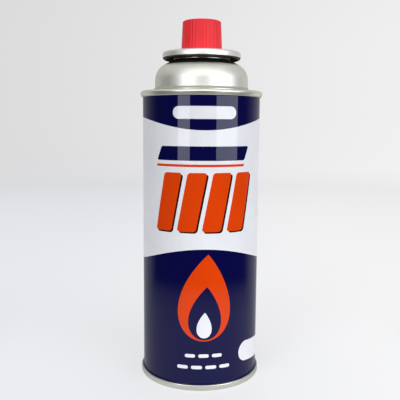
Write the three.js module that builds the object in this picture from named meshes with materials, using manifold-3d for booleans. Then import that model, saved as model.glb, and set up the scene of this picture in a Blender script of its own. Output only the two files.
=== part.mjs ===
// Fuel canister: a straight-sided butane cartridge with a seamed can, a domed shoulder,
// a crimped valve cup with a locating collar, a sprung valve stem and a ribbed pull-off cap.
// Millimetres, +Z up, origin at the middle of the ring that the can stands on.
import * as THREE from "three";
import { mergeVertices } from "three/addons/utils/BufferGeometryUtils.js";
import Module from "manifold-3d";

const wasm = await Module();
wasm.setup();

// Can body and its two double seams
const BODY_RADIUS = 32.55;
const CAN_HEIGHT = 159.8;
const SEAM_RADIUS = 33.85;
const SEAM_HEIGHT = 3.3;
const SEAM_THICKNESS = 2;
const SEAM_ROUNDING = 0.5;
const SEAM_LEDGE_FALL = 0.2;

// Inward-domed base
const BASE_RECESS = 4.2;
const BASE_DOME_RISE = 5.4;
const BASE_CORNER = 1.4;

// Domed shoulder that rises out of a countersunk ring
const COUNTERSINK_DEPTH = 4.6;
const COUNTERSINK_ROUNDING = 0.9;
const DOME_FOOT_RADIUS = 26.4;
const DOME_WALL_RADIUS = 25.75;
const DOME_WALL_RISE = 6;
const DOME_ROUNDING = 9.5;
const CONE_ANGLE = THREE.MathUtils.degToRad(28);

// Curled mouth of the dome, which the valve cup is crimped over
const CURL_OUTER_RADIUS = 15.1;
const CURL_THICKNESS = 2.2;
const CURL_HEIGHT = 2.23;

// Valve cup of thin sheet: crimped rim, well and pedestal
const CLEARANCE = 0.3;
const CUP_SHEET = 0.5;
const CUP_CORNER = 0.8;
const CRIMP_SKIRT_HEIGHT = 2.7;
const WELL_DEPTH = 5.2;
const PEDESTAL_RADIUS = 7.4;
const PEDESTAL_HEIGHT = 11.4;

// Locating collar on the cup's rim, with a notch that sets which way up the can goes in
const COLLAR_RADIUS = 21.6;
const COLLAR_SHEET = 0.9;
const COLLAR_SKIRT_HEIGHT = 4.2;
const COLLAR_LIP = 0.8;
const COLLAR_SHOULDER = 1.2;
const COLLAR_HEM = 1.4;
const NOTCH_WIDTH = 7;
const NOTCH_DEPTH = 4.5;

// Valve stem, pressed in to open the valve
const STEM_RADIUS = 2;
const STEM_BORE_RADIUS = 1;
const STEM_STANDOUT = 4.1;
const STEM_LENGTH = 14.5;
const STEM_BORE_DEPTH = 10.5;
const STEM_CHAMFER = 0.4;
const STEM_GUIDE_CLEARANCE = 0.4;
const STEM_TRAVEL = 1.8;
const STEM_END_ROOM = 0.6;

// Pull-off cap with fine upright ribs
const CAP_HEIGHT = 23;
const CAP_WELL_CLEARANCE = 0.45;
const CAP_TOP_RADIUS = 10.6;
const CAP_WALL = 1.3;
const CAP_TOP_WALL = 1.6;
const CAP_EDGE_ROUNDING = 0.9;
const CAP_CROWN = 0.15;
const CAP_FOOT_CHAMFER = 0.5;
const CAP_RIB_COUNT = 36;
const CAP_RIB_DEPTH = 0.3;
const CAP_RIB_FADE = 1.2;

// Facets
const ROUND_SEGMENTS = 48;
const STEM_SEGMENTS = 16;
const CORNER_STEPS = 2;
const DOME_STEPS = 5;

// Heights and radii that follow from the sizes above
const chuckRadius = SEAM_RADIUS - SEAM_THICKNESS;
const shoulderZ = CAN_HEIGHT + DOME_WALL_RISE;
const domeArcCentre = DOME_WALL_RADIUS - DOME_ROUNDING;
const coneStartAngle = Math.PI / 2 - CONE_ANGLE;
const coneStartRadius = domeArcCentre + DOME_ROUNDING * Math.cos(coneStartAngle);
const coneStartZ = shoulderZ + DOME_ROUNDING * Math.sin(coneStartAngle);
const coneTopZ = coneStartZ + (coneStartRadius - CURL_OUTER_RADIUS) * Math.tan(CONE_ANGLE);
const curlTopZ = coneTopZ + CURL_HEIGHT;
const mouthRadius = CURL_OUTER_RADIUS - CURL_THICKNESS;
const rimTopZ = curlTopZ + CLEARANCE + CUP_SHEET;
const crimpRadius = CURL_OUTER_RADIUS + CLEARANCE + CUP_SHEET;
const wellRadius = mouthRadius - CLEARANCE - CUP_SHEET;
const wellFloorZ = rimTopZ - WELL_DEPTH;
const pedestalTopZ = wellFloorZ + PEDESTAL_HEIGHT;
const stemGuideRadius = STEM_RADIUS + STEM_GUIDE_CLEARANCE;
const stemTipZ = pedestalTopZ + STEM_STANDOUT;
const stemFootZ = stemTipZ - STEM_LENGTH;
const collarTopZ = rimTopZ + COLLAR_SHEET;
const capTopZ = wellFloorZ + CAP_HEIGHT;
const capFootRadius = wellRadius - CAP_WELL_CLEARANCE;

// Points of a circular arc in the (radius, height) plane, angles in degrees from outward
function arc(centreRadius, centreZ, radius, fromDegrees, toDegrees, steps = CORNER_STEPS) {
  const points = [];
  for (let i = 0; i <= steps; i += 1) {
    const angle = THREE.MathUtils.degToRad(fromDegrees + ((toDegrees - fromDegrees) * i) / steps);
    points.push([centreRadius + radius * Math.cos(angle), centreZ + radius * Math.sin(angle)]);
  }
  return points;
}

// Turns a profile of [radius, height] points about the Z axis
function turned(profile, segments = ROUND_SEGMENTS) {
  const points = profile.map(([radius, z]) => new THREE.Vector2(radius, z));
  const geometry = new THREE.LatheGeometry(points, segments);
  geometry.rotateX(Math.PI / 2);
  return geometry;
}

function toSolid(geometry) {
  const bare = geometry.clone();
  bare.deleteAttribute("normal");
  bare.deleteAttribute("uv");
  const merged = mergeVertices(bare, 1e-4);
  return new wasm.Manifold(
    new wasm.Mesh({
      numProp: 3,
      vertProperties: new Float32Array(merged.attributes.position.array),
      triVerts: new Uint32Array(merged.index.array),
    }),
  );
}

function toGeometry(solid) {
  const mesh = solid.getMesh();
  const geometry = new THREE.BufferGeometry();
  geometry.setAttribute("position", new THREE.BufferAttribute(new Float32Array(mesh.vertProperties), 3));
  geometry.setIndex(new THREE.BufferAttribute(new Uint32Array(mesh.triVerts), 1));
  geometry.computeVertexNormals();
  return geometry;
}

function piece(name, geometry, color, roughness, metalness) {
  const material = new THREE.MeshStandardMaterial({ color, roughness, metalness });
  const mesh = new THREE.Mesh(geometry, material);
  mesh.name = name;
  return mesh;
}

// Underside: a shallow dome pushed up inside the ring of the lower seam
function baseProfile() {
  const edgeRadius = chuckRadius - BASE_CORNER;
  const domeRadius = (edgeRadius ** 2 + BASE_DOME_RISE ** 2) / (2 * BASE_DOME_RISE);
  const centreZ = BASE_RECESS + BASE_DOME_RISE - domeRadius;
  const edgeDegrees = THREE.MathUtils.radToDeg(Math.acos(edgeRadius / domeRadius));
  const dome = arc(0, centreZ, domeRadius, 90, edgeDegrees, DOME_STEPS);
  dome[0][0] = 0;
  return [...dome, [chuckRadius, BASE_RECESS - BASE_CORNER]];
}

// Rolled ring at the foot of the can, standing on its flat lower edge
function lowerSeamProfile() {
  const outer = SEAM_RADIUS - SEAM_ROUNDING;
  return [
    ...arc(chuckRadius + SEAM_ROUNDING, SEAM_ROUNDING, SEAM_ROUNDING, 180, 270),
    ...arc(outer, SEAM_ROUNDING, SEAM_ROUNDING, 270, 360),
    ...arc(outer, SEAM_HEIGHT - SEAM_ROUNDING, SEAM_ROUNDING, 0, 90),
    [BODY_RADIUS, SEAM_HEIGHT + SEAM_LEDGE_FALL],
  ];
}

function upperSeamProfile() {
  const outer = SEAM_RADIUS - SEAM_ROUNDING;
  const underZ = CAN_HEIGHT - SEAM_HEIGHT;
  return [
    [BODY_RADIUS, underZ - SEAM_LEDGE_FALL],
    ...arc(outer, underZ + SEAM_ROUNDING, SEAM_ROUNDING, -90, 0),
    ...arc(outer, CAN_HEIGHT - SEAM_ROUNDING, SEAM_ROUNDING, 0, 90),
    ...arc(chuckRadius + SEAM_ROUNDING, CAN_HEIGHT - SEAM_ROUNDING, SEAM_ROUNDING, 90, 180),
  ];
}

// Countersunk ring inside the upper seam, the dome's upright wall, its rounding and its cone
function domeProfile() {
  const floorZ = CAN_HEIGHT - COUNTERSINK_DEPTH;
  const ringZ = floorZ + COUNTERSINK_ROUNDING;
  return [
    ...arc(chuckRadius - COUNTERSINK_ROUNDING, ringZ, COUNTERSINK_ROUNDING, 0, -90),
    ...arc(DOME_FOOT_RADIUS + COUNTERSINK_ROUNDING, ringZ, COUNTERSINK_ROUNDING, -90, -180),
    ...arc(domeArcCentre, shoulderZ, DOME_ROUNDING, 0, 90 - THREE.MathUtils.radToDeg(CONE_ANGLE), DOME_STEPS),
    [CURL_OUTER_RADIUS, coneTopZ],
  ];
}

// Curled mouth, the seat under the well, and the valve body that fills the pedestal
function mouthProfile() {
  const curl = CURL_THICKNESS / 2;
  const seatZ = wellFloorZ - CUP_SHEET - CLEARANCE;
  const valveBodyRadius = PEDESTAL_RADIUS - CUP_SHEET - CLEARANCE;
  const valveBodyTopZ = pedestalTopZ - CUP_SHEET - CLEARANCE;
  const guideFloorZ = stemFootZ - STEM_TRAVEL - STEM_END_ROOM;
  return [
    ...arc(mouthRadius + curl, curlTopZ - curl, curl, 0, 180, 2 * CORNER_STEPS),
    [mouthRadius, seatZ],
    [valveBodyRadius, seatZ],
    [valveBodyRadius, valveBodyTopZ],
    [stemGuideRadius, valveBodyTopZ],
    [stemGuideRadius, guideFloorZ],
    [0, guideFloorZ],
  ];
}

function sealedCan() {
  const profile = [
    ...baseProfile(),
    ...lowerSeamProfile(),
    ...upperSeamProfile(),
    ...domeProfile(),
    ...mouthProfile(),
  ];
  return piece("sealed_can", turned(profile), 0x10113a, 0.3, 0.35);
}

// One side of the cup's sheet; offset 0 is the upper side, CUP_SHEET the underside
function cupSide(offset) {
  const inner = CUP_CORNER - offset;
  const outer = CUP_CORNER + offset;
  return [
    [stemGuideRadius, pedestalTopZ - offset],
    ...arc(PEDESTAL_RADIUS - CUP_CORNER, pedestalTopZ - CUP_CORNER, inner, 90, 0),
    ...arc(PEDESTAL_RADIUS + CUP_CORNER, wellFloorZ + CUP_CORNER, outer, 180, 270),
    ...arc(wellRadius - CUP_CORNER, wellFloorZ + CUP_CORNER, outer, 270, 360),
    ...arc(wellRadius + CUP_CORNER, rimTopZ - CUP_CORNER, inner, 180, 90),
    ...arc(crimpRadius - CUP_CORNER, rimTopZ - CUP_CORNER, inner, 90, 0),
    [crimpRadius - offset, rimTopZ - CRIMP_SKIRT_HEIGHT],
  ];
}

function valveCup() {
  const profile = [...cupSide(0), ...cupSide(CUP_SHEET).reverse()];
  profile.push(profile[0]);
  return piece("valve_cup", turned(profile.reverse()), 0xb9b8ac, 0.35, 0.9);
}

// Flat ring with a skirt turned down and its edge rolled in
function collarProfile() {
  const footZ = collarTopZ - COLLAR_SKIRT_HEIGHT;
  const profile = [
    [mouthRadius, collarTopZ],
    [mouthRadius, rimTopZ],
    [COLLAR_RADIUS - COLLAR_SHEET, rimTopZ],
    [COLLAR_RADIUS - COLLAR_SHEET, footZ + COLLAR_SHEET],
    [COLLAR_RADIUS - COLLAR_SHEET - COLLAR_LIP, footZ + COLLAR_SHEET],
    [COLLAR_RADIUS - COLLAR_SHEET - COLLAR_LIP, footZ],
    ...arc(COLLAR_RADIUS - COLLAR_HEM, footZ + COLLAR_HEM, COLLAR_HEM, -90, 0),
    ...arc(COLLAR_RADIUS - COLLAR_SHOULDER, collarTopZ - COLLAR_SHOULDER, COLLAR_SHOULDER, 0, 90),
  ];
  profile.push(profile[0]);
  return profile;
}

// Notch outline seen from above: open at the collar's edge, round at its inner end
function notchCutter() {
  const half = NOTCH_WIDTH / 2;
  const innerY = COLLAR_RADIUS - NOTCH_DEPTH + half;
  const outerY = COLLAR_RADIUS + half;
  const outline = new THREE.Shape();
  outline.moveTo(half, outerY);
  outline.lineTo(-half, outerY);
  outline.lineTo(-half, innerY);
  outline.absarc(0, innerY, half, Math.PI, 2 * Math.PI, false);
  const depth = 2 * COLLAR_SHEET + COLLAR_SKIRT_HEIGHT;
  const geometry = new THREE.ExtrudeGeometry(outline, { depth, bevelEnabled: false, curveSegments: 8 });
  geometry.translate(0, 0, collarTopZ - COLLAR_SKIRT_HEIGHT - COLLAR_SHEET);
  return toSolid(geometry);
}

function locatingCollar() {
  const ring = toSolid(turned(collarProfile()));
  const notched = ring.subtract(notchCutter());
  return piece("locating_collar", toGeometry(notched), 0xe9e6da, 0.3, 0.85);
}

function valveStem() {
  const profile = [
    [0, stemFootZ],
    [STEM_RADIUS, stemFootZ],
    [STEM_RADIUS, stemTipZ - STEM_CHAMFER],
    [STEM_RADIUS - STEM_CHAMFER, stemTipZ],
    [STEM_BORE_RADIUS, stemTipZ],
    [STEM_BORE_RADIUS, stemTipZ - STEM_BORE_DEPTH],
    [0, stemTipZ - STEM_BORE_DEPTH],
  ];
  return piece("valve_stem", turned(profile, STEM_SEGMENTS), 0xe8e4d6, 0.45, 0);
}

// Profile rows of the cap as [radius, height, how deep the ribs are cut there, from 0 to 1]
function capRows() {
  const edgeZ = capTopZ - CAP_CROWN - CAP_EDGE_ROUNDING;
  const edgeRadius = CAP_TOP_RADIUS - CAP_EDGE_ROUNDING;
  const draft = (capFootRadius - CAP_TOP_RADIUS) / (edgeZ - wellFloorZ);
  const wallRadius = (z) => capFootRadius - draft * (z - wellFloorZ);
  const ribFootZ = wellFloorZ + CAP_FOOT_CHAMFER + CAP_RIB_FADE;
  const ceilingZ = capTopZ - CAP_CROWN - CAP_TOP_WALL;
  const round = arc(edgeRadius, edgeZ, CAP_EDGE_ROUNDING, 0, 90, DOME_STEPS - 1);
  return [
    [0, ceilingZ, 0],
    [wallRadius(ceilingZ) - CAP_WALL, ceilingZ, 0],
    [capFootRadius - CAP_WALL, wellFloorZ, 0],
    [capFootRadius - CAP_FOOT_CHAMFER, wellFloorZ, 0],
    [wallRadius(wellFloorZ + CAP_FOOT_CHAMFER), wellFloorZ + CAP_FOOT_CHAMFER, 0],
    [wallRadius(ribFootZ), ribFootZ, 1],
    ...round.map(([radius, z], i) => [radius, z, 1 - i / (DOME_STEPS - 1)]),
    [0, capTopZ, 0],
  ];
}

// The ribs are a wave round the wall: each vertex is drawn in by its row's share of the rib depth
function cap() {
  const rows = capRows();
  const geometry = turned(rows, 2 * CAP_RIB_COUNT);
  const position = geometry.attributes.position;
  for (let i = 0; i < position.count; i += 1) {
    const share = rows[i % rows.length][2];
    const step = Math.floor(i / rows.length);
    if (share > 0 && step % 2 === 1) {
      const radius = Math.hypot(position.getX(i), position.getY(i));
      const drawn = (radius - share * CAP_RIB_DEPTH) / radius;
      position.setX(i, position.getX(i) * drawn);
      position.setY(i, position.getY(i) * drawn);
    }
  }
  geometry.computeVertexNormals();
  return piece("cap", geometry, 0xe23a41, 0.4, 0);
}

const group = new THREE.Group();
group.add(sealedCan(), valveCup(), locatingCollar(), valveStem(), cap());

export default group;
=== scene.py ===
"""Looks of a gas cartridge: printed can, bare metal dome and collar, and a red ribbed cap.

Lengths are written in millimetres and become metres where a mesh is made.
"""
import math

import bpy
from mathutils import Matrix, Vector
from mathutils.geometry import delaunay_2d_cdt


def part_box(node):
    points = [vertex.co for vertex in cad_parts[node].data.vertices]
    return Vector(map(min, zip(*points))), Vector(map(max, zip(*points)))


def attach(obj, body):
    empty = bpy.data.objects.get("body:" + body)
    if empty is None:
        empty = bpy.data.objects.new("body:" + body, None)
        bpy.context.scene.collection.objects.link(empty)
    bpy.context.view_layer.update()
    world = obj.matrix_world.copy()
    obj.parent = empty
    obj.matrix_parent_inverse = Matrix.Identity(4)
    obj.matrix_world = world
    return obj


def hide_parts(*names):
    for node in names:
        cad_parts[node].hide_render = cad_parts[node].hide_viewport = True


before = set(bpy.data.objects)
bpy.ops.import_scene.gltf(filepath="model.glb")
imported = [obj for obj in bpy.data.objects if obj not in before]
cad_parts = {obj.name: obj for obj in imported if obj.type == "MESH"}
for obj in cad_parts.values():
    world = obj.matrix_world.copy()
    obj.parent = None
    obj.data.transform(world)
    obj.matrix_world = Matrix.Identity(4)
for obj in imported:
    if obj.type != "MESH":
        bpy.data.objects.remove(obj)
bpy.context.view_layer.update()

MM = 0.001

# Sizes that come from the frame
_, can_high = (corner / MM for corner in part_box("sealed_can"))
cup_low, cup_high = (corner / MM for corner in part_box("valve_cup"))
collar_low, collar_high = (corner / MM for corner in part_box("locating_collar"))
stem_low, stem_high = (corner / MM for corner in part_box("valve_stem"))
cap_low, cap_high = (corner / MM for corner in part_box("cap"))

# Short bevels stand for tight bends and broken edges
BEND = 0.1

# Can
SEAM_RADIUS = can_high.x
BODY_RADIUS = 32.55
CAN_HEIGHT = 159.8
SEAM_HEIGHT = 3.3
SEAM_THICKNESS = 2.0
SEAM_ROUNDING = 0.55
# Rounding at each seam's end, how far it narrows towards the wall, and the rounding at its
# foot, with the angle at which that starts
LOW_SEAM = {"end": 1.1, "taper": 0, "foot": SEAM_ROUNDING, "foot_degrees": 0}
HIGH_SEAM = {"end": 1.5, "taper": 0.35, "foot": 0.8, "foot_degrees": 15}
SEAM_LEDGE_FALL = 0.2
BASE_RECESS = 4.2
BASE_DOME_RISE = 5.4
BASE_CORNER = 1.4
COUNTERSINK_DEPTH = 4.6
COUNTERSINK_ROUNDING = 0.9
DOME_FOOT_RADIUS = 26.9
# The dome's foot flares out between these heights above the can's end
DOME_FLARE = (0.65, 1.85)
DOME_FLARE_STEP = 0.05
DOME_WALL_RADIUS = 25.75
DOME_WALL_RISE = 6.0
DOME_ROUNDING = 9.5
CONE_DEGREES = 28
CONE_BEND = 0.3
CURL_OUTER_RADIUS = 15.1
CURL_THICKNESS = 2.2
MOUTH_RADIUS = CURL_OUTER_RADIUS - CURL_THICKNESS

# Cup, collar and stem
CLEARANCE = 0.3
CUP_SHEET = 0.5
CUP_CORNER = 0.8
WELL_DEPTH = 5.2
PEDESTAL_RADIUS = 7.4
PEDESTAL_HEIGHT = 11.4
WELL_FLOOR = cup_high.z - PEDESTAL_HEIGHT
RIM_TOP = WELL_FLOOR + WELL_DEPTH
COLLAR_SHEET = 0.9
COLLAR_LIP = 0.8
COLLAR_SHOULDER = 1.25
COLLAR_HEM = 1.45
COLLAR_EDGE_ROUNDING = 0.2
# The bright face starts this far round the hem, where outward is 0; below that the hem is dark with
# painted shade
COLLAR_FACE_DEGREES = -15
# Edges of the collar that turn more than this stay sharp
COLLAR_SHARP_DEGREES = 50
NOTCH_WIDTH = 7.0
NOTCH_DEPTH = 4.5
NOTCH_CUTTER_MARGIN = 2
STEM_RADIUS = stem_high.x
STEM_BORE_RADIUS = 1.0
STEM_BORE_DEPTH = 10.5
STEM_CHAMFER = 0.4
STEM_GUIDE_GAP = 0.4
STEM_ROOM_BELOW = 2.4
GUIDE_RADIUS = STEM_RADIUS + STEM_GUIDE_GAP

# Cap
CAP_FOOT_RADIUS = cap_high.x
CAP_TOP_RADIUS = 10.6
CAP_WALL = 1.3
CAP_TOP_WALL = 1.6
CAP_EDGE_ROUNDING = 0.9
CAP_CROWN = 0.15
CAP_FOOT_CHAMFER = 0.5
CAP_MOUTH_CHAMFER = 0.15
CAP_CEILING_ROUNDING = 1
CAP_RIB_COUNT = 36
CAP_RIB_DEPTH = 0.16
# Rows of the mesh over which the ribs reach their full depth
CAP_RIB_START_ROWS = 2

# Mesh fineness
TURNS = 240
STEM_TURNS = 64
CORNER_STEPS = 6
CURVE_STEPS = 20
COLLAR_FACE_STEPS = 3
NOTCH_STEPS = 16
RIB_STEPS = 8
CAP_WALL_ROWS = 25
CAP_EDGE_STEPS = 8
CAP_TOP_ROWS = 6
PILL_STEPS = 12
BAR_CORNER_STEPS = 5
DROP_STEPS = 48

# Print: places on the can are millimetres round the wall from the front, and heights
PRINT_CENTRE = 2.0
WELD_DEGREES = -102
WELD_WIDTH = 3.4
# Bowed edge of each band: its height in the middle of a face, its rise towards the sides
# and how fast it turns away
TOP_BAND_EDGE = (138.75, 3.45, 2.0)
LOW_BAND_EDGE = (77.05, -5.65, 1.7)
# Shapes of one face, placed from the middle of the face
TOP_PILL = {"centre_x": 0, "centre_z": 147.75, "width": 34.2, "height": 6.5}
WIDE_BAR = {"left": -27.4, "low": 123.2, "width": 50.6, "height": 7.4, "slant": 3.2, "radius": 1.0}
THIN_BAR = {"left": -27.9, "low": 120.0, "width": 50.6, "height": 1.3, "slant": 0.6, "radius": 0.4}
TALL_BAR = {"left": -28.2, "low": 86.2, "width": 10.2, "height": 30.8, "slant": 6.0, "radius": 1.6}
TALL_BAR_COUNT = 4
TALL_BAR_PITCH = 13.4
TALL_BAR_SHADOW = (0.9, -0.8)
OUTER_DROP = {"centre_x": 0.3, "low": 27.3, "width": 30.7, "height": 47.0, "lean": 2.0}
MIDDLE_DROP = {"centre_x": 0.6, "low": 27.9, "width": 19.0, "height": 29.0, "lean": 1.2}
INNER_DROP = {"centre_x": 0.3, "low": 29.0, "width": 8.6, "height": 14.0, "lean": 0.4}
DROP_TAPER = 0.42
DROP_FULLNESS = 1.18
HIGH_DASHES = {"count": 3, "first": -7.2, "pitch": 7.3, "length": 5.6, "centre_z": 19.2}
LOW_DASHES = {"count": 4, "first": -11.3, "pitch": 7.7, "length": 6.0, "centre_z": 12.8}
DASH_THICKNESS = 1.9
SIDE_PILL = {"centre_x": 36.0, "centre_z": 17.05, "width": 30.0, "height": 11.4, "tilt": -6.5}
# Shapes nearer to each other than this are cut as if they touched
CUT_TOLERANCE = 1e-5

# Middle range of a noise value
NOISE_RANGE = (0.3, 0.7)

# Metal seen edge on is tinted with this, and the lacquered metal darkened as painted shade more
# strongly
EDGE_TINT = (0.62, 0.62, 0.6)
SHADE_DARKENED_EDGE_TINT = (0.5, 0.5, 0.47)

# Studio lights, in metres
LIGHT_DISTANCE = 2.0
WALL_LIGHT_COLOR = (0.88, 0.92, 1.0)

# Backdrop: how far a direction points to the right as one paper turns into the other, to the
# front as the paper turns into the room, and upward as both turn into the ceiling
PAPER_TURN = (-0.45, 0.45)
ROOM_TURN = (-0.8, 0.0)
CEILING_RISE = (0.1, 0.75)
PAPER_LEFT = (0.71, 0.71, 0.72)
PAPER_RIGHT = (0.88, 0.88, 0.89)
ROOM = (0.10, 0.10, 0.105)
CEILING = (0.6, 0.6, 0.61)

# Floor, in metres: how far to the right its colour turns, and the distances from the can over
# which it takes on the colour of the backdrop, behind the can and in front of it
FLOOR_SIZE = 40.0
FLOOR_TURN = (-0.2, 0.2)
BACK_FADE = (0.25, 1.8)
FRONT_FADE = (0.12, 0.26)
FLOOR_LEFT = (0.89, 0.905, 0.93)
FLOOR_RIGHT = (1.0, 1.0, 1.0)
FLOOR_GLOW = 0.55

# Camera, as the photograph was taken
CAMERA_DISTANCE = 334.4
CAMERA_HEIGHT = 141.4
CAMERA_PITCH = 7.23
CAMERA_YAW = -0.065
CAMERA_ROLL = 0.4
CAMERA_LENS = 53.15
CAMERA_SENSOR = 36


def arc(centre_r, centre_z, radius, start, end, steps=CORNER_STEPS):
    """Points of a circular arc, angles in degrees from outward."""
    points = []
    for i in range(steps + 1):
        angle = math.radians(start + (end - start) * i / steps)
        points.append((centre_r + radius * math.cos(angle), centre_z + radius * math.sin(angle)))
    return points


class Surface:
    """Vertices shared by place, each with its own exact normal, and faces with a material."""

    def __init__(self):
        self.places = []
        self.normals = []
        self.faces = []
        self.slots = []
        self.known = {}

    def vertex(self, place, normal):
        key = tuple(round(c, 4) for c in place)
        if key not in self.known:
            self.known[key] = len(self.places)
            self.places.append(Vector(place) * MM)
            self.normals.append(Vector(normal).normalized())
        return self.known[key]

    def face(self, corners, slot):
        loop = [c for i, c in enumerate(corners) if c != corners[i - 1]]
        if len(loop) > 2:
            self.faces.append(loop)
            self.slots.append(slot)

    def make(self, name, materials, exact_normals=True):
        mesh = bpy.data.meshes.new(name)
        mesh.from_pydata(self.places, [], self.faces)
        for material in materials:
            mesh.materials.append(material)
        mesh.polygons.foreach_set("material_index", self.slots)
        mesh.polygons.foreach_set("use_smooth", [True] * len(self.faces))
        if exact_normals:
            mesh.normals_split_custom_set_from_vertices(self.normals)
        return link(name, mesh)


def link(name, mesh):
    obj = bpy.data.objects.new(name, mesh)
    bpy.context.scene.collection.objects.link(obj)
    return obj


def profile_normals(profile, closed):
    """The outward normal at each point, weighted by the length of its two sides."""
    count = len(profile)
    sides = []
    for i in range(count if closed else count - 1):
        r0, z0 = profile[i]
        r1, z1 = profile[(i + 1) % count]
        sides.append(Vector((z1 - z0, r0 - r1)))
    normals = []
    for i in range(count):
        before = sides[i - 1] if closed or i > 0 else Vector((0, 0))
        after = sides[i] if i < len(sides) else Vector((0, 0))
        normals.append((before + after).normalized())
    return normals


def join_rings(surface, rings, slot, closed=False):
    """Faces between rings that all have the same number of points."""
    pairs = list(zip(rings, rings[1:]))
    if closed:
        pairs.append((rings[-1], rings[0]))
    for low, high in pairs:
        for i in range(len(low)):
            j = (i + 1) % len(low)
            surface.face([low[i], low[j], high[j], high[i]], slot)


def turn(surface, profile, slot, closed=False, turns=TURNS):
    """Adds a profile of (radius, height) points, turned about the Z axis."""
    normals = profile_normals(profile, closed)
    rings = []
    for (radius, z), flat in zip(profile, normals):
        ring = []
        for i in range(turns):
            angle = 2 * math.pi * i / turns
            c, s = math.cos(angle), math.sin(angle)
            ring.append(surface.vertex((radius * c, radius * s, z), (flat.x * c, flat.x * s, flat.y)))
        rings.append(ring)
    join_rings(surface, rings, slot, closed)


def bow(edge, place):
    """Height of a band's bowed edge, which is the same on the front and the back face."""
    middle, rise, rate = edge
    turned = (place - PRINT_CENTRE) / BODY_RADIUS + math.pi / 2
    off_centre = turned % math.pi - math.pi / 2
    return middle + rise * (1 - math.cos(rate * off_centre))


def shifted(shape, across, up):
    return [(x + across, z + up) for x, z in shape]


def pill(centre_x, centre_z, width, height, tilt=0):
    """A bar with round ends."""
    radius = height / 2
    half = width / 2 - radius
    points = arc(half, 0, radius, -90, 90, PILL_STEPS)
    points += arc(-half, 0, radius, 90, 270, PILL_STEPS)
    c, s = math.cos(math.radians(tilt)), math.sin(math.radians(tilt))
    return [(centre_x + x * c - z * s, centre_z + x * s + z * c) for x, z in points]


def slanted_bar(left, low, width, height, slant, radius):
    """A leaning bar with rounded corners."""
    inner = [
        (left + width - radius, low + radius, -90),
        (left + width - radius, low + height - radius, 0),
        (left + radius, low + height - radius, 90),
        (left + radius, low + radius, 180),
    ]
    points = []
    for x, z, start in inner:
        points += arc(x, z, radius, start, start + 90, BAR_CORNER_STEPS)
    return [(x + slant * (z - low) / height, z) for x, z in points]


def drop(centre_x, low, width, height, lean):
    """A drop with a round foot and a tip that leans a little."""
    points = []
    for i in range(DROP_STEPS):
        t = 2 * math.pi * i / DROP_STEPS
        up = (1 - math.cos(t)) / 2
        side = math.sin(t)
        body = abs(side) * (1 - up) ** DROP_TAPER * DROP_FULLNESS
        x = math.copysign(body, side) * width / 2
        points.append((centre_x + x + lean * up ** 3, low + height * up))
    return points


def band_shape(low_edge, high_edge, first, last):
    """A band round the can between two edges, each a function of the place."""
    places = [first + (last - first) * i / TURNS for i in range(TURNS + 1)]
    low = [(x, low_edge(x)) for x in places]
    high = [(x, high_edge(x)) for x in reversed(places)]
    return low + high


# Order of the materials on the can
TIN, SEAM, WHITE, NAVY, ORANGE, SHADOW, BASE_AND_PAINTED_SHADE, NECK_PAINTED_SHADE = range(8)


def front_motif():
    """The printed shapes of one face of the can, back to front, each with its material."""
    shapes = [(pill(**TOP_PILL), WHITE)]
    shapes.append((slanted_bar(**WIDE_BAR), NAVY))
    shapes.append((slanted_bar(**THIN_BAR), ORANGE))
    for i in range(TALL_BAR_COUNT):
        bar = shifted(slanted_bar(**TALL_BAR), TALL_BAR_PITCH * i, 0)
        shapes.append((shifted(bar, *TALL_BAR_SHADOW), SHADOW))
        shapes.append((bar, ORANGE))
    shapes.append((drop(**OUTER_DROP), ORANGE))
    shapes.append((drop(**MIDDLE_DROP), NAVY))
    shapes.append((drop(**INNER_DROP), WHITE))
    for row in (HIGH_DASHES, LOW_DASHES):
        for i in range(row["count"]):
            centre_x = row["first"] + row["pitch"] * i
            shapes.append((pill(centre_x, row["centre_z"], row["length"], DASH_THICKNESS), WHITE))
    shapes.append((pill(**SIDE_PILL), WHITE))
    return [(shifted(shape, PRINT_CENTRE, 0), slot) for shape, slot in shapes]


def wall_shapes(first, last, low, high):
    """Every shape on the flat wall, back to front, each with its material."""
    shapes = [([(first, low), (last, low), (last, high), (first, high)], WHITE)]
    shapes.append((band_shape(lambda x: low, lambda x: bow(LOW_BAND_EDGE, x), first, last), NAVY))
    shapes.append((band_shape(lambda x: bow(TOP_BAND_EDGE, x), lambda x: high, first, last), NAVY))
    for to_face in (0, (last - first) / 2):
        shapes += [(shifted(shape, to_face, 0), slot) for shape, slot in front_motif()]
    half = WELD_WIDTH / 2
    shapes.append(([(first, low), (first + half, low), (first + half, high), (first, high)], TIN))
    shapes.append(([(last - half, low), (last, low), (last, high), (last - half, high)], TIN))
    return shapes


def wall(surface):
    """The printed wall: its outline and every printed shape are cut into one flat sheet of
    triangles, which is then wrapped round the can."""
    around = 2 * math.pi * BODY_RADIUS
    first = round(WELD_DEGREES * TURNS / 360) * around / TURNS
    low = SEAM_HEIGHT + SEAM_LEDGE_FALL
    high = CAN_HEIGHT - SEAM_HEIGHT - SEAM_LEDGE_FALL
    shapes = wall_shapes(first, first + around, low, high)
    points, edges, faces = [], [], []
    for shape, _ in shapes:
        faces.append(list(range(len(points), len(points) + len(shape))))
        points += [Vector(p) for p in shape]
    for i in range(TURNS + 1):
        x = first + around * i / TURNS
        edges.append((len(points), len(points) + 1))
        points += [Vector((x, low)), Vector((x, high))]
    inside_only = 1
    cut = delaunay_2d_cdt(points, edges, faces, inside_only, CUT_TOLERANCE)
    flat, _, triangles, _, _, sources = cut
    for triangle, source in zip(triangles, sources):
        if not source:
            continue
        corners = []
        for index in triangle:
            x, z = flat[index]
            angle = x / BODY_RADIUS - math.pi / 2
            c, s = math.cos(angle), math.sin(angle)
            corners.append(surface.vertex((BODY_RADIUS * c, BODY_RADIUS * s, z), (c, s, 0)))
        surface.face(corners, shapes[max(source)][1])


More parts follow.
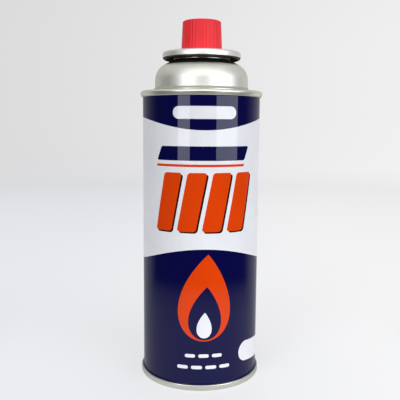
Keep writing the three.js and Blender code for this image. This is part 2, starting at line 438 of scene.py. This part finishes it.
def base_profile():
    """The lower end, domed inward, with the corner where it meets the seam."""
    chuck = SEAM_RADIUS - SEAM_THICKNESS
    edge = chuck - BASE_CORNER
    radius = (edge**2 + BASE_DOME_RISE**2) / (2 * BASE_DOME_RISE)
    centre = BASE_RECESS + BASE_DOME_RISE - radius
    edge_degrees = math.degrees(math.acos(edge / radius))
    dome = arc(0, centre, radius, 90, edge_degrees, CURVE_STEPS)
    dome[0] = (0, dome[0][1])
    return dome + arc(edge, BASE_RECESS - BASE_CORNER, BASE_CORNER, 90, 0)[1:]


def seam_profile(end, taper, foot, foot_degrees):
    """A seam's ring, from its inner side round the end of the can to the wall. Its end has
    the radius end, and it narrows by the taper towards its foot at the wall."""
    chuck = SEAM_RADIUS - SEAM_THICKNESS
    inner = chuck + SEAM_ROUNDING
    return (
        arc(inner, SEAM_ROUNDING, SEAM_ROUNDING, 180, 270)
        + arc(SEAM_RADIUS - end, end, end, 270, 360)
        + arc(SEAM_RADIUS - taper - foot, SEAM_HEIGHT - foot, foot, foot_degrees, 90)
    )


def dome_profile():
    """The domed end in three parts: the countersunk ring with the dome's foot, the dome, and
    the cone and neck with its curl, which are made dark as painted shade."""
    chuck = SEAM_RADIUS - SEAM_THICKNESS
    ring = CAN_HEIGHT - COUNTERSINK_DEPTH + COUNTERSINK_ROUNDING
    centre = DOME_WALL_RADIUS - DOME_ROUNDING
    shoulder = CAN_HEIGHT + DOME_WALL_RISE
    cone = math.radians(CONE_DEGREES)
    cone_start_r = centre + DOME_ROUNDING * math.sin(cone)
    cone_start_z = shoulder + DOME_ROUNDING * math.cos(cone)
    cone_top_z = cone_start_z + (cone_start_r - CURL_OUTER_RADIUS) * math.tan(cone)
    flare_low, flare_high = (CAN_HEIGHT + rise for rise in DOME_FLARE)
    flare_end = DOME_WALL_RADIUS + DOME_FLARE_STEP
    foot = (
        arc(chuck - COUNTERSINK_ROUNDING, ring, COUNTERSINK_ROUNDING, 0, -90)
        + arc(DOME_FOOT_RADIUS + COUNTERSINK_ROUNDING, ring, COUNTERSINK_ROUNDING, -90, -180)
        + [(DOME_FOOT_RADIUS, flare_low - BEND), (DOME_FOOT_RADIUS - BEND, flare_low)]
        + [(flare_end + BEND, flare_high - BEND), (flare_end, flare_high)]
    )
    rounding = arc(centre, shoulder, DOME_ROUNDING, 0, 90 - CONE_DEGREES, CURVE_STEPS)
    dome = [foot[-1]] + rounding[:-1]
    curl = CURL_THICKNESS / 2
    curl_top = RIM_TOP - CLEARANCE - CUP_SHEET
    neck = rounding[-2:]
    neck += [(CURL_OUTER_RADIUS + CONE_BEND, cone_top_z - CONE_BEND * math.tan(cone))]
    neck += [(CURL_OUTER_RADIUS, cone_top_z + BEND)]
    neck += arc(MOUTH_RADIUS + curl, curl_top - curl, curl, 0, 180, 2 * CORNER_STEPS)
    return foot, dome, neck


def mouth_profile():
    """The can's mouth, with the seat of the cup and the guide of the stem."""
    seat = WELL_FLOOR - CUP_SHEET - CLEARANCE
    body = PEDESTAL_RADIUS - CUP_SHEET - CLEARANCE
    top = can_high.z
    floor = stem_low.z - STEM_ROOM_BELOW
    return [
        (MOUTH_RADIUS, seat),
        (body, seat),
        (body, top),
        (GUIDE_RADIUS, top),
        (GUIDE_RADIUS, floor),
        (0, floor),
    ]


def make_can(materials):
    surface = Surface()
    low_seam = seam_profile(**LOW_SEAM)
    high_seam = [(r, CAN_HEIGHT - z) for r, z in reversed(seam_profile(**HIGH_SEAM))]
    low_ledge = (BODY_RADIUS, SEAM_HEIGHT + SEAM_LEDGE_FALL)
    high_ledge = (BODY_RADIUS, CAN_HEIGHT - SEAM_HEIGHT - SEAM_LEDGE_FALL)
    wall(surface)
    base = base_profile()
    foot, dome, neck = dome_profile()
    turn(surface, base + [low_seam[0]], BASE_AND_PAINTED_SHADE)
    turn(surface, low_seam, BASE_AND_PAINTED_SHADE)
    turn(surface, [low_seam[-1], low_ledge], NAVY)
    turn(surface, [high_ledge, high_seam[0]], NAVY)
    foot_points = CORNER_STEPS + 1
    turn(surface, high_seam[foot_points - 1:], SEAM)
    # Painted shade: the upper seam's foot against the wall takes the darker tinplate of the base end
    turn(surface, high_seam[:foot_points], BASE_AND_PAINTED_SHADE)
    turn(surface, dome, TIN)
    # Painted shade: the countersunk ring and the dome's foot take the darker tinplate of the base end
    turn(surface, [high_seam[-1]] + foot, BASE_AND_PAINTED_SHADE)
    # Painted shade: the cone, neck and curl under the collar are made near black
    turn(surface, neck + mouth_profile(), NECK_PAINTED_SHADE)
    can = surface.make("can_shell", materials)
    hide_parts("sealed_can")
    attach(can, "can")


def cup_side(offset):
    """One side of the cup's sheet, from the stem's guide to the edge of the crimp."""
    inner = CUP_CORNER - offset
    outer = CUP_CORNER + offset
    top = cup_high.z
    crimp = cup_high.x
    well = MOUTH_RADIUS - CLEARANCE - CUP_SHEET
    return (
        [(GUIDE_RADIUS, top - offset)]
        + arc(PEDESTAL_RADIUS - CUP_CORNER, top - CUP_CORNER, inner, 90, 0)
        + arc(PEDESTAL_RADIUS + CUP_CORNER, WELL_FLOOR + CUP_CORNER, outer, 180, 270)
        + arc(well - CUP_CORNER, WELL_FLOOR + CUP_CORNER, outer, 270, 360)
        + arc(well + CUP_CORNER, RIM_TOP - CUP_CORNER, inner, 180, 90)
        + arc(crimp - CUP_CORNER, RIM_TOP - CUP_CORNER, inner, 90, 0)
        + [(crimp - offset, cup_low.z)]
    )


def make_cup(material):
    surface = Surface()
    profile = cup_side(CUP_SHEET) + list(reversed(cup_side(0)))
    turn(surface, profile, 0, closed=True)
    cup = surface.make("cup_pressing", [material])
    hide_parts("valve_cup")
    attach(cup, "can")


def collar_profile():
    """The collar's inside, a dark lacquer made near black as painted shade, from the mouth round to
    the hem, and its bright face.
    """
    low, top = collar_low.z, collar_high.z
    outer = collar_high.x
    sheet = COLLAR_SHEET
    lip = outer - sheet - COLLAR_LIP
    edge = COLLAR_EDGE_ROUNDING
    face_start = COLLAR_FACE_DEGREES
    inside = [(MOUTH_RADIUS, RIM_TOP), (outer - sheet, RIM_TOP), (outer - sheet, low + sheet)]
    inside += [(lip, low + sheet)]
    inside += arc(lip + edge, low + edge, edge, 180, 270)
    inside += arc(outer - COLLAR_HEM, low + COLLAR_HEM, COLLAR_HEM, -90, face_start)
    face = arc(outer - COLLAR_HEM, low + COLLAR_HEM, COLLAR_HEM, face_start, 0, COLLAR_FACE_STEPS)
    face += arc(outer - COLLAR_SHOULDER, top - COLLAR_SHOULDER, COLLAR_SHOULDER, 0, 90)
    face += arc(MOUTH_RADIUS + edge, top - edge, edge, 90, 180) + [inside[0]]
    return inside, face


def notch_cutter():
    """A block with one round end, which cuts the notch at the back of the collar."""
    half = NOTCH_WIDTH / 2
    inner = collar_high.x - NOTCH_DEPTH + half
    outer = collar_high.x + half
    outline = [(half, outer), (-half, outer)]
    outline += [(x, inner + y) for x, y in arc(0, 0, half, 180, 360, NOTCH_STEPS)]
    low = collar_low.z - NOTCH_CUTTER_MARGIN
    high = collar_high.z + NOTCH_CUTTER_MARGIN
    count = len(outline)
    places = [Vector((x, y, z)) * MM for z in (low, high) for x, y in outline]
    faces = [list(range(count))[::-1], list(range(count, 2 * count))]
    for i in range(count):
        j = (i + 1) % count
        faces.append([i, j, count + j, count + i])
    mesh = bpy.data.meshes.new("notch_cutter")
    mesh.from_pydata(places, [], faces)
    return link("notch_cutter", mesh)


def apply_modifiers(obj):
    """Gives obj the mesh that its modifiers make, and takes them off."""
    bpy.context.view_layer.update()
    evaluated = obj.evaluated_get(bpy.context.evaluated_depsgraph_get())
    mesh = bpy.data.meshes.new_from_object(evaluated)
    obj.modifiers.clear()
    obj.data = mesh


def make_collar(face_material, inside_material):
    surface = Surface()
    inside, face = collar_profile()
    turn(surface, face, 0)
    turn(surface, inside, 1)
    collar = surface.make("collar_ring", [face_material, inside_material])
    cutter = notch_cutter()
    cut = collar.modifiers.new("notch", "BOOLEAN")
    cut.operation = "DIFFERENCE"
    cut.solver = "EXACT"
    cut.object = cutter
    apply_modifiers(collar)
    bpy.data.objects.remove(cutter)
    collar.data.set_sharp_from_angle(angle=math.radians(COLLAR_SHARP_DEGREES))
    weigh = collar.modifiers.new("weighted normals", "WEIGHTED_NORMAL")
    weigh.keep_sharp = True
    apply_modifiers(collar)
    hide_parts("locating_collar")
    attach(collar, "can")


def make_stem(material):
    low, top = stem_low.z, stem_high.z
    profile = [(0, low)]
    profile += arc(STEM_RADIUS - STEM_CHAMFER, low + STEM_CHAMFER, STEM_CHAMFER, 270, 360)
    profile += arc(STEM_RADIUS - STEM_CHAMFER, top - STEM_CHAMFER, STEM_CHAMFER, 0, 90)
    profile += [(STEM_BORE_RADIUS + BEND, top), (STEM_BORE_RADIUS, top - BEND)]
    profile += [(STEM_BORE_RADIUS, top - STEM_BORE_DEPTH), (0, top - STEM_BORE_DEPTH)]
    surface = Surface()
    turn(surface, profile, 0, turns=STEM_TURNS)
    stem = surface.make("stem_tube", [material])
    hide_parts("valve_stem")
    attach(stem, "stem")


def cap_rows():
    """Rows of the cap as (radius, height, share of the rib depth)."""
    low, top = cap_low.z, cap_high.z
    edge_z = top - CAP_CROWN - CAP_EDGE_ROUNDING
    edge_r = CAP_TOP_RADIUS - CAP_EDGE_ROUNDING
    ceiling = top - CAP_CROWN - CAP_TOP_WALL
    draft = (CAP_FOOT_RADIUS - CAP_TOP_RADIUS) / (edge_z - low)

    def wall_radius(z):
        return CAP_FOOT_RADIUS - draft * (z - low)

    fillet = CAP_CEILING_ROUNDING
    mouth = CAP_FOOT_RADIUS - CAP_WALL
    chamfer = CAP_MOUTH_CHAMFER
    foot = CAP_FOOT_CHAMFER
    smooth = [(0, ceiling)]
    smooth += arc(wall_radius(ceiling) - CAP_WALL - fillet, ceiling - fillet, fillet, 90, 0)
    smooth += [(mouth + chamfer, low + chamfer), (mouth + 2 * chamfer, low)]
    smooth += arc(wall_radius(low + foot) - foot, low + foot, foot, 270, 360)
    rows = [(r, z, 0) for r, z in smooth]
    for i in range(1, CAP_WALL_ROWS):
        z = low + foot + (edge_z - low - foot) * i / CAP_WALL_ROWS
        rows.append((wall_radius(z), z, min(1, i / CAP_RIB_START_ROWS)))
    for i, (r, z) in enumerate(arc(edge_r, edge_z, CAP_EDGE_ROUNDING, 0, 90, CAP_EDGE_STEPS)):
        rows.append((r, z, 1 - (i / CAP_EDGE_STEPS) ** 2))
    for i in range(1, CAP_TOP_ROWS + 1):
        share = 1 - i / CAP_TOP_ROWS
        rows.append((edge_r * share, top - CAP_CROWN * share**2, 0))
    return rows


def make_cap(material):
    """Fine upright ribs: round crests with narrow grooves between them."""
    turns = CAP_RIB_COUNT * RIB_STEPS
    surface = Surface()
    rings = []
    for radius, z, share in cap_rows():
        ring = []
        for i in range(turns):
            angle = 2 * math.pi * i / turns
            groove = ((1 + math.cos(CAP_RIB_COUNT * angle)) / 2) ** 2
            r = radius - share * CAP_RIB_DEPTH * groove
            place = (r * math.cos(angle), r * math.sin(angle), z)
            ring.append(surface.vertex(place, (0, 0, 1)))
        rings.append(ring)
    join_rings(surface, rings, 0)
    moulding = surface.make("cap_moulding", [material], exact_normals=False)
    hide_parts("cap")
    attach(moulding, "cap")


def noise(nodes, links, scale, detail, stretch=(1, 1, 1)):
    """Noise in the object's own coordinates, stretched along its axes."""
    place = nodes.new("ShaderNodeTexCoord")
    mapping = nodes.new("ShaderNodeMapping")
    mapping.inputs["Scale"].default_value = stretch
    texture = nodes.new("ShaderNodeTexNoise")
    texture.inputs["Scale"].default_value = scale
    texture.inputs["Detail"].default_value = detail
    links.new(place.outputs["Object"], mapping.inputs["Vector"])
    links.new(mapping.outputs["Vector"], texture.inputs["Vector"])
    return texture.outputs["Fac"]


def spread(nodes, links, value, low, high):
    """Maps a noise value from its usual middle range to the range from low to high."""
    span = nodes.new("ShaderNodeMapRange")
    span.inputs["From Min"].default_value = NOISE_RANGE[0]
    span.inputs["From Max"].default_value = NOISE_RANGE[1]
    span.inputs["To Min"].default_value = low
    span.inputs["To Max"].default_value = high
    links.new(value, span.inputs["Value"])
    return span.outputs["Result"]


def new_material(name):
    """A material with its node tree's nodes, links and shader."""
    material = bpy.data.materials.new(name)
    material.use_nodes = True
    nodes, links = material.node_tree.nodes, material.node_tree.links
    return material, nodes, links, nodes["Principled BSDF"]


def mottled(nodes, links, shader, color, amount, scale):
    """Gives the base colour a faint light and dark mottle."""
    mix = nodes.new("ShaderNodeMix")
    mix.data_type = "RGBA"
    mix.inputs["A"].default_value = (*[c * (1 - amount) for c in color], 1)
    mix.inputs["B"].default_value = (*[min(1, c * (1 + amount)) for c in color], 1)
    patches = noise(nodes, links, scale, detail=3)
    links.new(spread(nodes, links, patches, 0, 1), mix.inputs["Factor"])
    links.new(mix.outputs["Result"], shader.inputs["Base Color"])


def uneven(nodes, links, shader, scale, detail, low, high):
    """Lets the roughness wander from low to high."""
    patches = noise(nodes, links, scale, detail)
    links.new(spread(nodes, links, patches, low, high), shader.inputs["Roughness"])


def bumped(nodes, links, shader, scale, distance, stretch=(1, 1, 1), socket="Normal"):
    """Gives the surface, or its coat, a fine relief of the height distance."""
    bump = nodes.new("ShaderNodeBump")
    bump.inputs["Strength"].default_value = 1
    bump.inputs["Distance"].default_value = distance * MM
    links.new(noise(nodes, links, scale, detail=2, stretch=stretch), bump.inputs["Height"])
    links.new(bump.outputs["Normal"], shader.inputs[socket])


def lacquered_ink(name, color):
    """Ink printed on tinplate under a clear lacquer, with the faint ripple of a baked coat."""
    material, nodes, links, shader = new_material(name)
    mottled(nodes, links, shader, color, amount=0.03, scale=90)
    uneven(nodes, links, shader, scale=240, detail=2, low=0.36, high=0.46)
    shader.inputs["Specular IOR Level"].default_value = 0.0
    shader.inputs["Coat Weight"].default_value = 0.5
    shader.inputs["Coat Roughness"].default_value = 0.03
    bumped(nodes, links, shader, scale=160, distance=0.001, socket="Coat Normal")
    return material


def tinplate(name, color, rough, grain, edge=EDGE_TINT):
    """Pressed tinplate: a soft sheen with faint rings left by the press tool."""
    material, nodes, links, shader = new_material(name)
    mottled(nodes, links, shader, color, amount=0.05, scale=70)
    shader.inputs["Metallic"].default_value = 1
    shader.inputs["Specular Tint"].default_value = (*edge, 1)
    uneven(nodes, links, shader, scale=130, detail=3, low=rough, high=rough + 0.08)
    bumped(nodes, links, shader, scale=300, distance=grain, stretch=(1, 1, 9))
    return material


def shade_darkened_tinplate(name, color, rough):
    """Tinplate under a dark lacquer, made near black as painted shade."""
    return tinplate(name, color, rough, grain=0.008, edge=SHADE_DARKENED_EDGE_TINT)


def moulded_plastic(name, color, rough):
    """Satin moulded plastic that lets a little light in."""
    material, nodes, links, shader = new_material(name)
    mottled(nodes, links, shader, color, amount=0.04, scale=120)
    uneven(nodes, links, shader, scale=500, detail=3, low=rough, high=rough + 0.1)
    shader.inputs["Specular IOR Level"].default_value = 0.2
    shader.inputs["Subsurface Weight"].default_value = 0.1
    shader.inputs["Subsurface Radius"].default_value = (0.002, 0.0006, 0.0005)
    bumped(nodes, links, shader, scale=900, distance=0.012)
    return material


def can_materials():
    """The can's materials, in the order of their numbers."""
    return [
        tinplate("bare_tinplate", color=(0.84, 0.83, 0.755), rough=0.45, grain=0.01),
        tinplate("rolled_seam_tinplate", color=(0.87, 0.87, 0.74), rough=0.31, grain=0.004),
        lacquered_ink("white_ink", color=(0.765, 0.767, 0.78)),
        lacquered_ink("navy_ink", color=(0.001, 0.001, 0.045)),
        lacquered_ink("orange_ink", color=(0.68, 0.049, 0.001)),
        lacquered_ink("shadow_ink", color=(0.022, 0.006, 0.004)),
        # Tinplate of the base end, also used as painted shade in the creases of the top end
        tinplate("base_tinplate_and_painted_shade", color=(0.60, 0.60, 0.53), rough=0.3, grain=0.006),
        # Painted shade: near-black tinplate for the cone and neck that lie under the collar
        shade_darkened_tinplate("neck_painted_shade", color=(0.11, 0.099, 0.072), rough=0.42),
    ]


def area_light(name, place, aim, size, power, color=(1, 1, 1)):
    light = bpy.data.lights.new(name, "AREA")
    light.shape = "RECTANGLE"
    light.size, light.size_y = size
    light.energy = power
    light.color = color
    obj = bpy.data.objects.new(name, light)
    obj.location = place
    obj.rotation_euler = (Vector(aim) - Vector(place)).to_track_quat("-Z", "Y").to_euler()
    obj.visible_camera = False
    bpy.context.scene.collection.objects.link(obj)


def wall_light(name, azimuth, width, height, radiance):
    """An upright light that stands on the floor round the can, its place and width in degrees."""
    turned = math.radians(azimuth)
    across = 2 * LIGHT_DISTANCE * math.tan(math.radians(width / 2))
    place = Vector((math.sin(turned), -math.cos(turned), 0)) * LIGHT_DISTANCE
    place.z = height / 2
    power = radiance * math.pi * across * height
    area_light(name, place, (0, 0, height / 2), (across, height), power, WALL_LIGHT_COLOR)


def make_lights():
    area_light("front_softbox", (0.1, -1.58, 1.3), aim=(0, 0, 0.15), size=(3.2, 1.9), power=18.5)
    wall_light("left_strip", azimuth=-33.2, width=23.7, height=0.8, radiance=5.5)
    wall_light("right_panel", azimuth=51.1, width=44.4, height=0.8, radiance=5.1)


def math_node(nodes, links, operation, first, second):
    """The result of a calculation with two values, each a number or a socket."""
    node = nodes.new("ShaderNodeMath")
    node.operation = operation
    for socket, value in zip(node.inputs, (first, second)):
        if isinstance(value, bpy.types.NodeSocket):
            links.new(value, socket)
        else:
            socket.default_value = value
    return node.outputs[0]


def smooth_range(nodes, links, value, low, high):
    """0 below low and 1 above high, with a smooth step between them."""
    span = nodes.new("ShaderNodeMapRange")
    span.interpolation_type = "SMOOTHSTEP"
    span.inputs["From Min"].default_value = low
    span.inputs["From Max"].default_value = high
    links.new(value, span.inputs["Value"])
    return span.outputs["Result"]


def blend(nodes, links, factor, first, second):
    """Mixes two colours, each a plain colour or a socket."""
    mix = nodes.new("ShaderNodeMix")
    mix.data_type = "RGBA"
    links.new(factor, mix.inputs["Factor"])
    for key, value in (("A", first), ("B", second)):
        if isinstance(value, bpy.types.NodeSocket):
            links.new(value, mix.inputs[key])
        else:
            mix.inputs[key].default_value = (*value, 1)
    return mix.outputs["Result"]


def vector_node(nodes, links, operation, vector):
    node = nodes.new("ShaderNodeVectorMath")
    node.operation = operation
    links.new(vector, node.inputs[0])
    return node


def axes_of(nodes, links, vector):
    node = nodes.new("ShaderNodeSeparateXYZ")
    links.new(vector, node.inputs["Vector"])
    return node.outputs


def backdrop(nodes, links, direction):
    """Colour of the studio at the height of the eye in a direction from the object: pale
    paper behind it, paler to the right, and a dim room in front. With it come how far the
    direction is to the front and how far it is upward."""
    axes = axes_of(nodes, links, direction)
    rightward = smooth_range(nodes, links, axes["X"], *PAPER_TURN)
    paper = blend(nodes, links, rightward, PAPER_LEFT, PAPER_RIGHT)
    forward = math_node(nodes, links, "MULTIPLY", axes["Y"], -1)
    frontward = smooth_range(nodes, links, forward, *ROOM_TURN)
    return blend(nodes, links, frontward, paper, ROOM), frontward, axes["Z"]


def make_world():
    world = bpy.data.worlds.new("studio")
    bpy.context.scene.world = world
    world.use_nodes = True
    nodes, links = world.node_tree.nodes, world.node_tree.links
    direction = nodes.new("ShaderNodeTexCoord").outputs["Generated"]
    around, _, height = backdrop(nodes, links, direction)
    upward = smooth_range(nodes, links, height, *CEILING_RISE)
    color = blend(nodes, links, upward, around, CEILING)
    links.new(color, nodes["Background"].inputs["Color"])


def floor_fade(nodes, links, place, frontward):
    """How far the floor takes on the colour of the studio, sooner in front of the can."""
    length = vector_node(nodes, links, "LENGTH", place).outputs["Value"]
    behind = smooth_range(nodes, links, length, *BACK_FADE)
    in_front = smooth_range(nodes, links, length, *FRONT_FADE)
    sooner = math_node(nodes, links, "SUBTRACT", in_front, behind)
    closer = math_node(nodes, links, "MULTIPLY", sooner, frontward)
    return math_node(nodes, links, "ADD", behind, closer)


def seen_rays(nodes, links):
    """1 for the rays that see the floor from the camera, in a gloss or through a clear piece."""
    path = nodes.new("ShaderNodeLightPath").outputs
    rays = math_node(nodes, links, "MAXIMUM", path["Is Camera Ray"], path["Is Glossy Ray"])
    return math_node(nodes, links, "MAXIMUM", rays, path["Is Transmission Ray"])


def floor_paper():
    """Paper that takes on the colour of the studio behind it with distance, so that no
    horizon shows."""
    material, nodes, links, shader = new_material("floor_paper")
    shader.inputs["Roughness"].default_value = 0.9
    shader.inputs["Specular IOR Level"].default_value = 0.1
    place = nodes.new("ShaderNodeTexCoord").outputs["Object"]
    direction = vector_node(nodes, links, "NORMALIZE", place).outputs["Vector"]
    rightward = smooth_range(nodes, links, axes_of(nodes, links, place)["X"], *FLOOR_TURN)
    paper = blend(nodes, links, rightward, FLOOR_LEFT, FLOOR_RIGHT)
    links.new(paper, shader.inputs["Base Color"])
    around, frontward, _ = backdrop(nodes, links, direction)
    distance = floor_fade(nodes, links, place, frontward)
    glow = nodes.new("ShaderNodeEmission")
    links.new(blend(nodes, links, distance, paper, around), glow.inputs["Color"])
    share = math_node(nodes, links, "MULTIPLY", seen_rays(nodes, links), FLOOR_GLOW)
    mix = nodes.new("ShaderNodeMixShader")
    links.new(math_node(nodes, links, "MAXIMUM", share, distance), mix.inputs["Fac"])
    links.new(shader.outputs["BSDF"], mix.inputs[1])
    links.new(glow.outputs["Emission"], mix.inputs[2])
    links.new(mix.outputs["Shader"], nodes["Material Output"].inputs["Surface"])
    return material


def make_floor():
    mesh = bpy.data.meshes.new("floor")
    half = FLOOR_SIZE / 2
    corners = [(-half, -half, 0), (half, -half, 0), (half, half, 0), (-half, half, 0)]
    mesh.from_pydata(corners, [], [(0, 1, 2, 3)])
    mesh.materials.append(floor_paper())
    floor = link("floor", mesh)


def make_camera():
    camera = bpy.data.cameras.new("photo_camera")
    camera.sensor_width = CAMERA_SENSOR
    camera.lens = CAMERA_LENS
    obj = bpy.data.objects.new("photo_camera", camera)
    pitch, yaw, roll = (math.radians(a) for a in (CAMERA_PITCH, CAMERA_YAW, CAMERA_ROLL))
    level = math.cos(pitch)
    forward = Vector((math.sin(yaw) * level, math.cos(yaw) * level, -math.sin(pitch)))
    right = Vector((math.cos(yaw), -math.sin(yaw), 0))
    up = right.cross(forward)
    across = right * math.cos(roll) + up * math.sin(roll)
    upward = up * math.cos(roll) - right * math.sin(roll)
    turn_to = Matrix((across, upward, -forward)).transposed().to_4x4()
    place = Vector((0, -CAMERA_DISTANCE, CAMERA_HEIGHT)) * MM
    obj.matrix_world = Matrix.Translation(place) @ turn_to
    bpy.context.scene.collection.objects.link(obj)
    bpy.context.scene.camera = obj


bpy.context.scene.view_settings.view_transform = "Standard"
make_camera()
make_world()
make_floor()
make_lights()
make_can(can_materials())
# The cup's tinplate colour is darkened as painted shade, since what shows of it lies under the collar
make_cup(tinplate("cup_tinplate_darkened_as_shade", color=(0.55, 0.53, 0.46), rough=0.3, grain=0.01))
make_collar(
    tinplate("collar_tinplate", color=(0.90, 0.88, 0.82), rough=0.46, grain=0.008),
    # The collar's lacquered inside and the underside of its hem are darkened to near black as painted
    # shade
    shade_darkened_tinplate("collar_inner_painted_shade", color=(0.085, 0.072, 0.052), rough=0.4),
)
make_stem(moulded_plastic("stem_acetal", color=(0.76, 0.74, 0.66), rough=0.35))
make_cap(moulded_plastic("cap_polyethylene", color=(0.83, 0.028, 0.035), rough=0.36))
